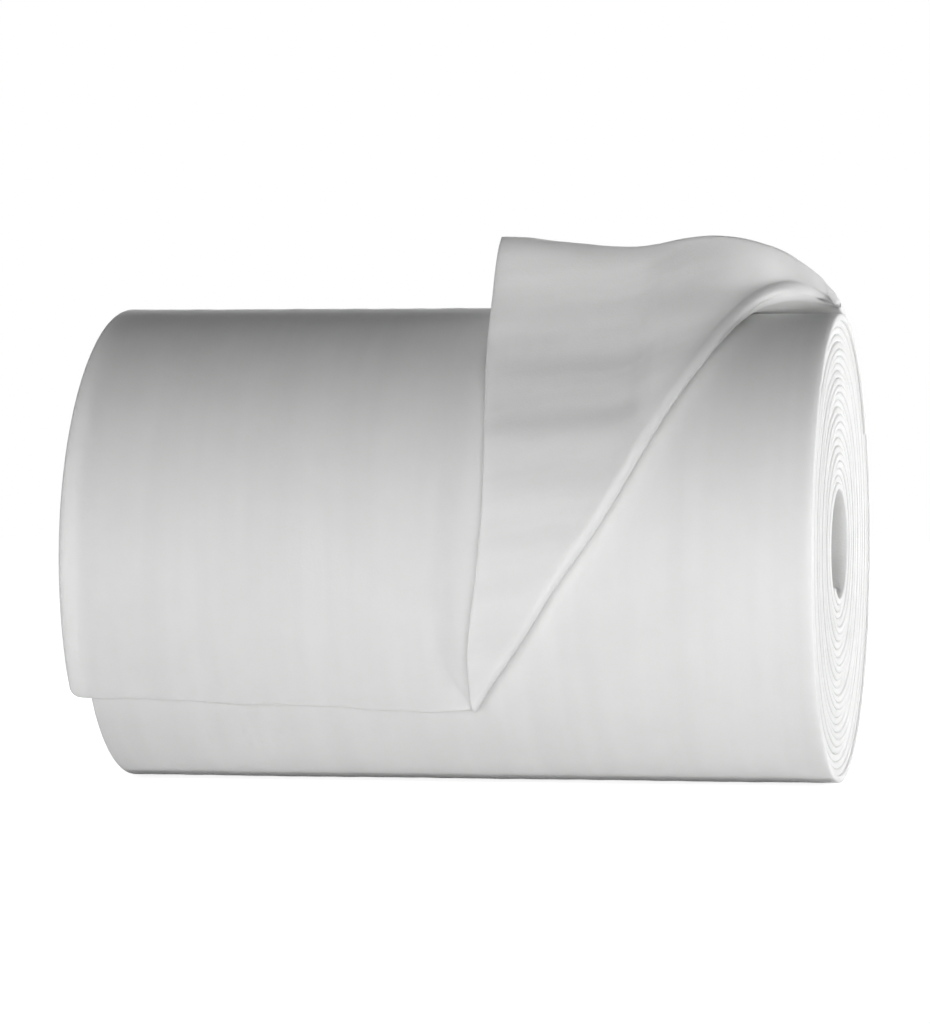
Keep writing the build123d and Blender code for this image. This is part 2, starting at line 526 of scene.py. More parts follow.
        radius = tree.math("SQRT", tree.math("ADD", tree.math("MULTIPLY", y, y), tree.math("MULTIPLY", z, z)))
        outside_bore = tree.math("SUBTRACT", radius, tree.given("Bore Radius"))
        out_from_bore = tree.math("DIVIDE", outside_bore, tree.given("Turn Pitch"))
        wave = tree.math("COSINE", tree.math("MULTIPLY", out_from_bore, tree.given("Creep Step")))
        depth = tree.math("MULTIPLY", tree.given("Creep"), -0.5)
        creep = tree.math("MULTIPLY", tree.math("SUBTRACT", 1.0, wave), depth)
        crept = tree.math("MULTIPLY", creep, tree.math("SIGN", x))
        on_right = tree.math("GREATER_THAN", x, 0.0)
        on_left = tree.math("SUBTRACT", 1.0, on_right)
        inward = tree.math(
            "ADD",
            tree.math("MULTIPLY", on_right, self.stray(tree, turn, RollEnd.RIGHT)),
            tree.math("MULTIPLY", on_left, self.stray(tree, turn, RollEnd.LEFT)),
        )
        near_bore = tree.node(
            "ShaderNodeMapRange",
            {"interpolation_type": "SMOOTHSTEP"},
            Value=radius,
            From_Min=tree.given("Inner Radius"),
            From_Max=tree.math("MULTIPLY", tree.given("Inner Radius"), 2.4),
            To_Min=1.0,
            To_Max=0.0,
        ).outputs[0]
        squeeze = tree.math("MULTIPLY", near_bore, tree.given("Bore Squeeze"))
        bulge = self.bulge(tree, y, z, radius)
        move = tree.node(
            "ShaderNodeCombineXYZ",
            X=tree.math("ADD", inward, crept),
            Y=tree.math("MULTIPLY", y, tree.math("ADD", bulge, squeeze)),
            Z=tree.math("MULTIPLY", z, tree.math("SUBTRACT", bulge, squeeze)),
        ).outputs[0]
        return tree.node("GeometryNodeSetPosition", i0=mesh, Offset=move)

    def stray(self, tree: ShapeTree, turn: bpy.types.NodeSocket, end: RollEnd) -> bpy.types.NodeSocket:
        """How far each turn's edge strays along the roll.

        Args:
            tree: The tree.
            turn: Turns from the bore, for each point.
            end: Which end's edge.

        Returns:
            The way along X, towards the roll's middle.
        """
        sign = float(end.value)
        noise = []
        for step, apart, detail in ((0.37, 9.0, 0.0), (1.31, 31.0, 1.0)):
            started = tree.math("ADD", tree.given("Seed"), apart * sign)
            at = tree.math("ADD", tree.math("MULTIPLY", turn, step), started)
            made = tree.node("ShaderNodeTexNoise", {"noise_dimensions": "1D"}, W=at, Scale=1.0, Detail=detail)
            noise.append(made.outputs[0])
        mixed = tree.math("ADD", tree.math("MULTIPLY", noise[0], 0.6), tree.math("MULTIPLY", noise[1], 0.4))
        return tree.math("MULTIPLY", mixed, tree.math("MULTIPLY", tree.given("Wander"), -sign))

    def bulge(
        self, tree: ShapeTree, y: bpy.types.NodeSocket, z: bpy.types.NodeSocket, radius: bpy.types.NodeSocket
    ) -> bpy.types.NodeSocket:
        """How much the outer turns stand off round the free end, as a share of the radius.

        Args:
            tree: The tree.
            y: The point's place towards the back.
            z: Its height.
            radius: Its distance from the bore's axis.

        Returns:
            The share, which is nothing near the bore and away from the free end.
        """
        angle = tree.math("DEGREES", tree.math("ARCTAN2", z, tree.math("MULTIPLY", y, -1.0)))
        from_end = tree.math("WRAP", tree.math("SUBTRACT", angle, tree.given("Free End")), 180.0, -180.0)
        above = tree.math("GREATER_THAN", from_end, 0.0)
        wider = tree.math("SUBTRACT", tree.given("Slack Above"), tree.given("Slack Below"))
        spread = tree.math("ADD", tree.given("Slack Below"), tree.math("MULTIPLY", above, wider))
        part = tree.math("DIVIDE", from_end, spread)
        fall = tree.math("EXPONENT", tree.math("MULTIPLY", tree.math("MULTIPLY", part, part), -1.0))
        outer = tree.node(
            "ShaderNodeMapRange",
            {"interpolation_type": "SMOOTHSTEP"},
            Value=radius,
            From_Min=tree.math("MULTIPLY", tree.given("Outer Radius"), 0.55),
            From_Max=tree.given("Outer Radius"),
        ).outputs[0]
        slack = tree.math("MULTIPLY", tree.math("MULTIPLY", tree.given("Slack"), fall), outer)
        return tree.math("DIVIDE", slack, radius)

    def build(self, foam: bpy.types.Material) -> bpy.types.Object:
        """Sweep the sheet and return it as a plain mesh.

        Args:
            foam: The material of the turns.

        Returns:
            The piece wound_turns.
        """
        tree = self.tree()
        obj = bpy.data.objects.new("wound_turns_start", bpy.data.meshes.new("wound_turns_start"))
        bpy.context.scene.collection.objects.link(obj)
        modifier = obj.modifiers.new("wound_sheet", "NODES")
        modifier.node_group = tree.group
        given = {**self.sizes(), "Steps per Turn": self.steps_per_turn, "Foam": foam}
        for name, value in given.items():
            modifier[tree.sockets[name]] = value
        return plain_mesh(obj, "wound_turns")


@dataclass
class LooseTurn:
    """The outermost turn with its free end, the fold and the corner that stands up.

    It is one sheet. Each column runs along the sheet at one place across the roll: from the joint
    under it, round the roll, and on the left to the free end. On the right it leaves the roll,
    bends back over the fold and runs up the flap. A share is how far along the fold a place is,
    from 0 at its tip to 1 at the roll's right end.

    Attributes:
        winding: How the sheet is wound.
        rim_bulge: How far the cut edge is rounded out.
        rim_steps: Rings that draw it.
        fold_tip: Where across the roll the fold begins.
        fold_line: The fold's angle round the roll, by share.
        edge_line: How high the flap's upper edge stands over the roll, by share.
        side_line: How far the flap's left side stands in, by share of its length.
        fold_gap: Air between the flap and the roll under it.
        arch_start: Share at which the bend rises off the roll.
        arch_end: Share at which it would be down again.
        arch_lift: How far it rises.
        arch_radius: Of the bend at the right end.
        arch_angle: Degrees over which the sheet rises to it.
        tightest_bend: Radius of the bend at the fold's tip.
        unbend_start: Share at which the bend begins to open.
        least_bend_turn: Degrees that it still turns at the right end.
        most_slant: Most that slanting may lengthen the bend.
        seat_angle: Degrees before the bend at which the sheet leaves the roll.
        leave_angle: Where round the roll the flap leaves it.
        leg_pull: How far the sheet keeps its way after the bend.
        corner_setback: How far in front of the bore the flap's corner stands.
        edge_end_setback: How far behind it the upper edge ends.
        corner_rounding: Of the free end's left corner.
        left_end_angle: The free end at the left side.
        tip_end_angle: The free end at the fold's tip.
        tip_lift_width: Over which the free end rises to the fold.
        end_tuck: How far the arch's end is drawn in.
        creep_out: How far the left side stands out past the roll's end: level with the axis, and
            then more for each metre towards the back and each metre up.
        edge_curl: How far the flap's upper edge curls back.
        curl_width: Over which it does.
        flat_fold: The fold's line on the flat sheet: its degrees, its climb, and how far along
            the sheet its tip is.
        over_angle: Where the wound stretch passes into the top's rows.
        under_angle: Where it passes the bottom.
        rows_under: Rows on the hidden turn.
        rows_back: Rows from the bottom up the back.
        rows_front: Rows over the top.
        rows_bend: Rows in each half of the bend.
        rows_flap: Rows up the flap.
    """

    winding: Winding
    rim_bulge: float = 0.0013
    rim_steps: int = 5
    fold_tip: float = 0.018
    fold_line: tuple[tuple[float, float], ...] = (
        (0.0, -40.8), (0.042, -35.2), (0.163, -21.4), (0.258, -9.8), (0.395, 5.4), (0.482, 17.2),
        (0.568, 30.4), (0.666, 46.4), (0.718, 56.0), (0.762, 64.5), (0.82, 74.0), (0.88, 82.0),
        (0.94, 89.0), (1.0, 95.5),
    )
    edge_line: tuple[tuple[float, float], ...] = (
        (0.0, 0.0494), (0.075, 0.0486), (0.167, 0.0457), (0.259, 0.0435), (0.35, 0.0414),
        (0.441, 0.0414), (0.485, 0.0428), (0.573, 0.0470), (0.66, 0.0492), (0.703, 0.0486),
        (0.745, 0.0473), (0.803, 0.0440), (0.846, 0.0407), (0.888, 0.0354), (0.93, 0.0281),
        (0.97, 0.0193), (1.0, 0.0060),
    )
    side_line: tuple[tuple[float, float], ...] = (
        (0.0, 0.0), (0.13, 0.0010), (0.285, 0.0093), (0.42, 0.0130), (0.505, 0.0124), (0.635, 0.0090),
        (0.74, 0.0064), (0.83, 0.0059), (0.92, 0.0056), (1.0, 0.0060),
    )
    fold_gap: float = 0.0012
    arch_start: float = 0.66
    arch_end: float = 1.12
    arch_lift: float = 0.008
    arch_radius: float = 0.0055
    arch_angle: float = 26.0
    tightest_bend: float = 0.0035
    unbend_start: float = 0.84
    least_bend_turn: float = 30.0
    most_slant: float = 2.6
    seat_angle: float = 8.0
    leave_angle: float = 28.0
    leg_pull: float = 0.4
    corner_setback: float = 0.066
    edge_end_setback: float = 0.018
    corner_rounding: float = 0.006
    left_end_angle: float = -36.9
    tip_end_angle: float = -40.8
    tip_lift_width: float = 0.034
    end_tuck: float = 0.002
    creep_out: tuple[float, float, float] = (0.006, -0.0399, -0.0123)
    edge_curl: float = 0.0034
    curl_width: float = 0.012
    flat_fold: tuple[float, float, float] = (50.0, 1.5, 1.3)
    over_angle: float = 150.0
    under_angle: float = 330.0
    rows_under: int = 64
    rows_back: int = 62
    rows_front: int = 70
    rows_bend: int = 9
    rows_flap: int = 58

    def columns(self) -> np.ndarray:
        """Place the columns across the roll, closest at the left side and at the fold's tip.

        Returns:
            Their places.
        """
        half = self.winding.sheet_width / 2
        side = -half + np.array([0.0, 0.0003, 0.0008, 0.0015, 0.0024, 0.0035, 0.0048])
        left = np.linspace(-half + 0.0065, -0.024, 50)
        near_tip = np.linspace(-0.021, self.fold_tip, 16)
        right = np.linspace(self.fold_tip, half, 84)[1:]
        return np.concatenate([side, left, near_tip, right])

    def overhang(self, angle: np.ndarray | float) -> np.ndarray:
        """How far the turn's left side has crept out past the roll's end.

        Args:
            angle: Angles round the roll.

        Returns:
            The overhang in metres, nothing under the back of the turn.
        """
        radius = self.winding.wound_radius
        y, z = -radius * np.cos(np.radians(angle)), radius * np.sin(np.radians(angle))
        level, per_back, per_up = self.creep_out
        out = level + per_back * y + per_up * z
        return np.where(angle > 135.0, 0.0, np.maximum(out, 0.0))

    def tuck(self, x: np.ndarray, angle: np.ndarray) -> np.ndarray:
        """How far the arch's right end is drawn in from the roll's end.

        Args:
            x: Places across the roll.
            angle: Angles round the roll.

        Returns:
            Distances in metres.
        """
        return self.end_tuck * smooth(self.share(x), 0.72, 1.0) * (1.0 - smooth(angle, 108.0, 160.0))

    def share(self, x: np.ndarray) -> np.ndarray:
        """How far along the fold a place across the roll is, from 0 at its tip to 1."""
        run = self.winding.sheet_width / 2 - self.fold_tip
        return np.clip((x - self.fold_tip) / run, 0.0, 1.0)

    def fold_angle(self, share: float) -> float:
        """The angle round the roll of the fold's line."""
        return float(along_curve(share, self.fold_line))

    def lift(self, share: float) -> float:
        """How far the bend has risen off the roll, from 0 to 1."""
        past = max(0.0, (share - self.arch_start) / (self.arch_end - self.arch_start))
        return math.sin(math.pi * past) * float(smooth(past, 0.0, 0.35)) ** 0.5

    def bend_radius(self, share: float) -> float:
        """The radius of the bend, to the middle of the sheet."""
        return self.tightest_bend + (self.arch_radius - self.tightest_bend) * share**2

    def slant(self, share: float) -> float:
        """How much longer a cut across the roll makes the bend than a cut square to the fold.

        Args:
            share: How far along the fold.

        Returns:
            The factor, 1 or more.
        """
        low, high = max(share - 0.01, 0.0), min(share + 0.01, 1.0)
        run = (self.winding.sheet_width / 2 - self.fold_tip) * (high - low)
        climb = math.radians(self.fold_angle(high) - self.fold_angle(low)) * self.winding.wound_radius
        return min(math.hypot(climb, run) / run, self.most_slant)

    def bend_angle(self, share: float) -> float:
        """The angle of the bend's centre, one outer bend radius behind the fold's line."""
        reach = (self.bend_radius(share) + self.winding.sheet_thickness / 2) * self.slant(share)
        return self.fold_angle(share) + math.degrees(reach / self.winding.wound_radius)

    def bend_turn(self, share: float) -> float:
        """How far the bend turns the sheet, in degrees."""
        past = float(smooth(share, self.unbend_start, 1.0))
        return 180.0 - (180.0 - self.least_bend_turn) * past

    def edge_place(self, share: float) -> np.ndarray:
        """Where the flap's upper edge is, as y and z."""
        back = (self.corner_setback + self.edge_end_setback) * share**4 - self.corner_setback
        return np.array([back, self.winding.wound_radius + float(along_curve(share, self.edge_line))])

    @staticmethod
    def around(radius: np.ndarray | float, angle: np.ndarray | float) -> np.ndarray:
        """The y and z of places on circles about the bore."""
        turn = np.radians(angle)
        return np.stack([-radius * np.cos(turn), radius * np.sin(turn)], axis=-1)

    def free_end(self, x: np.ndarray) -> np.ndarray:
        """The angle of the free end, which lies slightly askew and has a rounded corner.

        Args:
            x: Places across the roll, left of the fold's tip.

        Returns:
            Angles round the roll.
        """
        half = self.winding.sheet_width / 2
        part = (x + half) / (half + self.fold_tip)
        askew = self.left_end_angle + (self.tip_end_angle - self.left_end_angle) * part
        wavy = 0.22 * np.sin(x * 61.0 + 0.7) + 0.12 * np.sin(x * 143.0)
        inside = np.maximum(0.0, self.corner_rounding - (x + half))
        cut = self.corner_rounding - np.sqrt(np.maximum(self.corner_rounding**2 - inside**2, 0.0))
        fade = smooth(self.fold_tip - x, 0.0, 0.03)
        return askew + wavy * fade + np.degrees(cut / self.winding.wound_radius)

    def evened(self, line: np.ndarray, count: int) -> np.ndarray:
        """Place points evenly along a line.

        Args:
            line: The line's points.
            count: How many points to return.

        Returns:
            The evenly placed points, with both ends kept.
        """
        steps = np.linalg.norm(np.diff(line, axis=0), axis=1)
        at = np.concatenate([[0.0], np.cumsum(steps)])
        want = np.linspace(0.0, at[-1], count)
        return np.stack([np.interp(want, at, line[:, k]) for k in range(line.shape[1])], axis=-1)

    def folded_line(self, share: float) -> tuple[np.ndarray, np.ndarray]:
        """The sheet's middle line across the roll where it is folded.

        Args:
            share: How far along the fold.

        Returns:
            The line from the front of the roll's top to the bend's outermost point, and the line
            from there to the flap's upper edge, both as rows of y and z.
        """
        angle = self.bend_angle(share)
        start = angle + self.seat_angle + self.arch_angle * self.lift(share)
        rise = self.arch_lift * self.lift(share)
        radius = self.bend_radius(share)
        seat_radius = float(self.winding.middle_radius(angle))
        outward = self.around(1.0, angle)
        ahead = self.around(1.0, angle - 90.0) * self.slant(share)
        centre = outward * (seat_radius + rise + radius)

        lying = np.linspace(self.over_angle, start, 60)
        on_roll = self.around(self.winding.middle_radius(lying), lying)
        part = np.linspace(0.0, 1.0, 24)[1:]
        leaving = start + (angle - start) * part
        eased = part * part * (3 - 2 * part) * 0.5 + part**2 * 0.5
        rising = self.around(self.winding.middle_radius(leaving) + rise * eased, leaving)
        turn_all = math.radians(self.bend_turn(share))
        half_turn = min(math.pi / 2, turn_all / 2)
        first = np.linspace(0.0, half_turn, self.rows_bend)[1:, None]
        second = np.linspace(half_turn, turn_all, self.rows_bend)[1:, None]
        bend_in = centre - outward * radius * np.cos(first) + ahead * radius * np.sin(first)
        bend_out = centre - outward * radius * np.cos(second) + ahead * radius * np.sin(second)
        heading = ahead * math.cos(turn_all) + outward * math.sin(turn_all)
        heading = heading / np.linalg.norm(heading)
        leg = self.leg(share, angle, bend_out[-1], heading)
        down = np.concatenate([self.evened(np.concatenate([on_roll, rising]), self.rows_front), bend_in])
        up = np.concatenate([bend_in[-1:], bend_out, self.evened(leg, self.rows_flap)[1:]])
        return down, up

    def leg(self, share: float, angle: float, start: np.ndarray, heading: np.ndarray) -> np.ndarray:
        """The flap's middle line from the bend to its upper edge.

        Args:
            share: How far along the fold.
            angle: The bend's angle.
            start: Where the bend ends.
            heading: The sheet's direction there.

        Returns:
            A dense line of y and z.
        """
        edge = self.edge_place(share)
        part = np.linspace(0.0, 1.0, 120)[:, None]
        reach = np.linalg.norm(edge - start)
        pull = start + heading * reach * self.leg_pull
        bowed = start * (1 - part) ** 2 + pull * 2 * part * (1 - part) + edge * part**2
        lean = smooth(angle, self.leave_angle - 14.0, self.leave_angle + 2.0)
        if lean >= 1.0:
            return bowed
        w = self.winding
        radius = float(w.outer_radius(self.leave_angle)) + self.fold_gap + w.sheet_thickness / 2
        last = max(self.leave_angle, angle + 1.0)
        lying = np.linspace(angle, last, 80)[:-1]
        left = (last - lying) / (last - angle)
        base = np.linalg.norm(start)
        lain = self.around(radius + (base - radius) * left**2, lying)
        leave = self.around(radius, last)
        stood = leave + (edge - leave) * np.linspace(0.0, 1.0, 60)[:, None]
        line = self.evened(np.concatenate([lain, stood]), 120)
        for _ in range(40):
            line[1:-1] = (line[:-2] + 2 * line[1:-1] + line[2:]) / 4
        return self.evened(line, 120) * (1 - lean) + bowed * lean

    def side_bow(self, part: np.ndarray) -> np.ndarray:
        """How far the flap's left side stands in from the fold's tip.

        Args:
            part: Share of the way from the fold's tip to the flap's corner.

        Returns:
            Distances in metres.
        """
        return along_curve(part, self.side_line)

    def grids(self) -> tuple[np.ndarray, np.ndarray, np.ndarray, np.ndarray]:
        """Lay out the middle of the sheet.

        Returns:
            The points of the wound stretch and of the flap, each as columns of rows of x, y, z,
            and the flat place of each point on the sheet, across and along.
        """
        w = self.winding
        xs = self.columns()
        under = np.linspace(w.joint_angle - 0.15, self.under_angle, self.rows_under, endpoint=False)
        back = np.linspace(self.under_angle, self.over_angle, self.rows_back, endpoint=False)
        round_roll = np.concatenate([under, back])
        base = self.around(w.middle_radius(round_roll), round_roll)
        front_rows = self.rows_front + self.rows_bend - 1
        tip_down, _ = self.folded_line(0.0)
        wound, flap = [], []
        for x in xs:
            if x < self.fold_tip - 1e-9:
                end = float(self.free_end(np.array([x]))[0])
                lying = np.linspace(self.over_angle, end, front_rows)
                line = self.around(w.middle_radius(lying), lying)
                lifted = float(smooth(x, self.fold_tip - self.tip_lift_width, self.fold_tip))
                line = line * (1 - lifted) + tip_down * lifted
            else:
                line, up = self.folded_line(float(self.share(np.array([x]))[0]))
                flap.append(self.place_flap(x, up))
            whole = np.concatenate([base, line])
            wound.append(np.column_stack([np.full(len(whole), x), whole]))
        wound = np.array(wound)
        flap = np.array(flap)
        angle = np.degrees(np.arctan2(wound[..., 2], -wound[..., 1]))
        angle[:, : len(under)] += 360.0
        angle[:, len(under) : len(round_roll)] %= 360.0
        flat_wound = self.flat_of(wound)
        sides = 1.0 - smooth(wound[..., 0], -0.25, -0.12) + smooth(wound[..., 0], 0.10, 0.24)
        wound[..., 0] -= self.overhang(angle) * sides + self.tuck(wound[..., 0], angle)
        flat_flap = self.flat_of_flap(flap, xs[-len(flap) :])
        return wound, flap, flat_wound, flat_flap

    def place_flap(self, x: float, up: np.ndarray) -> np.ndarray:
        """Set one column of the flap across the roll, with its bowed side and curled edge.

        Args:
            x: The column's place at the fold.
            up: Its y and z from the fold to the upper edge.

        Returns:
            Rows of x, y, z.
        """
        share = float(self.share(np.array([x]))[0])
        steps = np.linalg.norm(np.diff(up, axis=0), axis=1)
        at = np.concatenate([[0.0], np.cumsum(steps)])
        part = at / at[-1]
        across = x + self.side_bow(part) * (1 - share) ** 2 - self.end_tuck * smooth(share, 0.72, 1.0)
        across -= self.overhang(90.0) * smooth(x, 0.10, 0.24)
        from_edge = at[-1] - at
        near_edge = np.clip(1 - from_edge / self.curl_width, 0.0, 1.0)
        curl = self.edge_curl * near_edge**2 * (1.0 - float(smooth(share, 0.15, 0.6)))
        bent = up + np.column_stack([curl, -0.25 * curl])
        return np.column_stack([across, bent])

    @staticmethod
    def flat_of(grid: np.ndarray) -> np.ndarray:
        """The flat place of the wound stretch's points.

        Args:
            grid: The points, as columns of rows.

        Returns:
            Across, and along from the joint, in metres.
        """
        steps = np.linalg.norm(np.diff(grid, axis=1), axis=2)
        at = np.concatenate([np.zeros((len(grid), 1)), np.cumsum(steps, axis=1)], axis=1)
        return np.stack([grid[..., 0], at], axis=-1)

    def flat_of_flap(self, flap: np.ndarray, xs: np.ndarray) -> np.ndarray:
        """The flat place of the flap's points, mirrored about the fold as the sheet really is.

        Args:
            flap: The flap's points.
            xs: The columns' places at the fold.

        Returns:
            Across and along, in metres.
        """
        degrees, climb, tip_along = self.flat_fold
        fold = math.radians(degrees)
        steps = np.linalg.norm(np.diff(flap, axis=1), axis=2)
        up = np.concatenate([np.zeros((len(flap), 1)), np.cumsum(steps, axis=1)], axis=1)
        rise = (xs - self.fold_tip)[:, None] * climb
        x, z = flap[..., 0] - self.fold_tip, rise + up
        across = x * math.cos(2 * fold) + z * math.sin(2 * fold)
        along = x * math.sin(2 * fold) - z * math.cos(2 * fold)
        return np.stack([across, along + tip_along], axis=-1)

    def waves(self, points: np.ndarray, flat: np.ndarray, on_flap: bool) -> np.ndarray:
        """How far the soft sheet bulges outwards at each point.

        Args:
            points: The points of the middle of the sheet.
            flat: Their flat places on the sheet.
            on_flap: Whether they are on the flap, which nothing holds.

        Returns:
            Distances in metres.
        """
        across, along = flat[..., 0], flat[..., 1]
        bands = np.sin(across * 283.0 + 1.3 * np.sin(along * 4.1))
        bands += 0.7 * np.sin(across * 171.0 + 2.0 + 0.8 * np.sin(along * 2.7))
        clouds = np.sin(across * 23.0 + 1.0) * np.sin(along * 19.0 + 0.4)
        clouds += 0.6 * np.sin(across * 41.0 - along * 13.0)
        if on_flap:
            ribs = np.sin(points[..., 2] * 165.0 + 1.2 + 0.8 * np.sin(points[..., 0] * 21.0))
            return 0.00010 * bands + 0.0004 * clouds + 0.00036 * ribs
        return 0.00007 * (bands + 1.7) + 0.00016 * (clouds + 1.6)

    def build(self, foam: bpy.types.Material) -> bpy.types.Object:
        """Build the sheet as one closed mesh.

        Args:
            foam: Its material.

        Returns:
            The piece loose_turn.
        """
        wound, flap, flat_wound, flat_flap = self.grids()
        columns, rows = wound.shape[:2]
        first = columns - len(flap)
        middle = np.concatenate([wound.reshape(-1, 3), flap[:, 1:].reshape(-1, 3)])
        flat = np.concatenate([flat_wound.reshape(-1, 2), flat_flap[:, 1:].reshape(-1, 2)])
        ids = np.arange(columns * rows).reshape(columns, rows)
        rest = columns * rows + np.arange(len(flap) * (flap.shape[1] - 1)).reshape(len(flap), -1)
        flap_ids = np.concatenate([ids[first:, -1:], rest], axis=1)
        quads = np.concatenate([self.quads(ids), self.quads(flap_ids)])
        normals = self.normals(middle, quads)
        bulge = np.concatenate(
            [self.waves(wound, flat_wound, False).ravel(), self.waves(flap, flat_flap, True)[:, 1:].ravel()]
        )
        fade = np.ones(len(middle))
        near_fold = np.ones(flap.shape[:2])
        for row in range(20):
            near_fold[:, row] = row / 20
        fade[rest.ravel()] = near_fold[:, 1:].ravel()
        for row in range(12):
            fade[ids[first:, -1 - row]] = row / 12
        middle = middle + normals * (bulge * fade)[:, None]
        return self.thicken(middle, quads, flat, foam)

    @staticmethod
    def quads(ids: np.ndarray) -> np.ndarray:
        """The faces between neighbouring points of a grid, facing away from the roll."""
        a, b, c, d = ids[:-1, :-1], ids[1:, :-1], ids[1:, 1:], ids[:-1, 1:]
        return np.stack([a.ravel(), b.ravel(), c.ravel(), d.ravel()], axis=1)

    @staticmethod
    def normals(points: np.ndarray, quads: np.ndarray) -> np.ndarray:
        """The outward direction at each point, averaged from its faces.

        Args:
            points: The points.
            quads: The faces.

        Returns:
            One direction of length 1 for each point.
        """
        p = points[quads]
        face = np.cross(p[:, 2] - p[:, 0], p[:, 3] - p[:, 1])
        total = np.zeros_like(points)
        for k in range(4):
            np.add.at(total, quads[:, k], face)
        return total / np.linalg.norm(total, axis=1, keepdims=True)

    def thicken(
        self, middle: np.ndarray, quads: np.ndarray, flat: np.ndarray, foam: bpy.types.Material
    ) -> bpy.types.Object:
        """Give the sheet its thickness and a rounded cut edge.

        Args:
            middle: The points of the middle of the sheet.
            quads: Its faces.
            flat: The points' flat places, kept as the UV map.
            foam: The material.

        Returns:
            The closed sheet.
        """
        normals = self.normals(middle, quads)
        half = (self.winding.sheet_thickness - self.winding.face_gap) / 2
        count = len(middle)
        loop = self.outline(quads)
        edge = middle[loop]
        ahead = np.roll(edge, -1, axis=0) - np.roll(edge, 1, axis=0)
        outward = np.cross(ahead, normals[loop])
        outward /= np.linalg.norm(outward, axis=1, keepdims=True)
        rings = [loop]
        points = [middle + normals * half, middle - normals * half]
        made = 2 * count
        for step in range(1, self.rim_steps + 1):
            turn = math.pi * step / (self.rim_steps + 1)
            up = math.copysign(abs(math.cos(turn)) ** 0.7, math.cos(turn)) * half
            out = math.sin(turn) ** 0.7 * self.rim_bulge
            points.append(edge + normals[loop] * up + outward * out)
            rings.append(made + np.arange(len(loop)))
            made += len(loop)
        rings.append(loop + count)
        faces = [quads, quads[:, ::-1] + count]
        for one, other in zip(rings, rings[1:]):
            after, next_after = np.roll(one, -1), np.roll(other, -1)
            faces.append(np.stack([after, one, other, next_after], axis=1))
        faces = np.concatenate(faces)
        places = np.concatenate(points)
        flats = np.concatenate([flat, flat, *[flat[loop]] * self.rim_steps])
        mesh = bpy.data.meshes.new("loose_turn")
        mesh.from_pydata(places.tolist(), [], faces.tolist())
        mesh.validate()
        uv = mesh.uv_layers.new(name="flat_sheet")
        corners = np.empty(len(mesh.loops), dtype=np.int32)
        mesh.loops.foreach_get("vertex_index", corners)
        uv.data.foreach_set("uv", flats[corners].astype(np.float32).ravel())
        mesh.shade_smooth()
        mesh.materials.append(foam)
        obj = bpy.data.objects.new("loose_turn", mesh)
        bpy.context.scene.collection.objects.link(obj)
        return obj

    @staticmethod
    def outline(quads: np.ndarray) -> np.ndarray:
        """The points round the sheet's outline, in the order of its faces.

        Args:
            quads: The faces.

        Returns:
            The points of the one closed outline.
        """
        after = {}
        for k in range(4):
            for a, b in zip(quads[:, k].tolist(), quads[:, (k + 1) % 4].tolist()):
                after[(a, b)] = True
        follow = {a: b for a, b in after if (b, a) not in after}
        start = next(iter(follow))
        loop = [start]
        while follow[loop[-1]] != start:
            loop.append(follow[loop[-1]])
        return np.array(loop)


@dataclass(frozen=True)
class Lamp:
    """One soft rectangular lamp.

    Attributes:
        name: The lamp's name.
        place: Where it hangs.
        aim: What it points at.
        size: Its width and height.
        power: In watts.
    """

    name: str
    place: tuple[float, float, float]
    aim: tuple[float, float, float]
    size: tuple[float, float]
    power: float

    def hang(self) -> None:
        """Put the lamp in the scene, unseen by the camera."""
        data = bpy.data.lights.new(self.name, "AREA")
        data.shape = "RECTANGLE"
        data.size, data.size_y = self.size
        data.energy = self.power
        obj = bpy.data.objects.new(self.name, data)
        obj.location = self.place
        obj.rotation_euler = (Vector(self.aim) - Vector(self.place)).to_track_quat("-Z", "Y").to_euler()
        obj.visible_camera = False
        bpy.context.scene.collection.objects.link(obj)


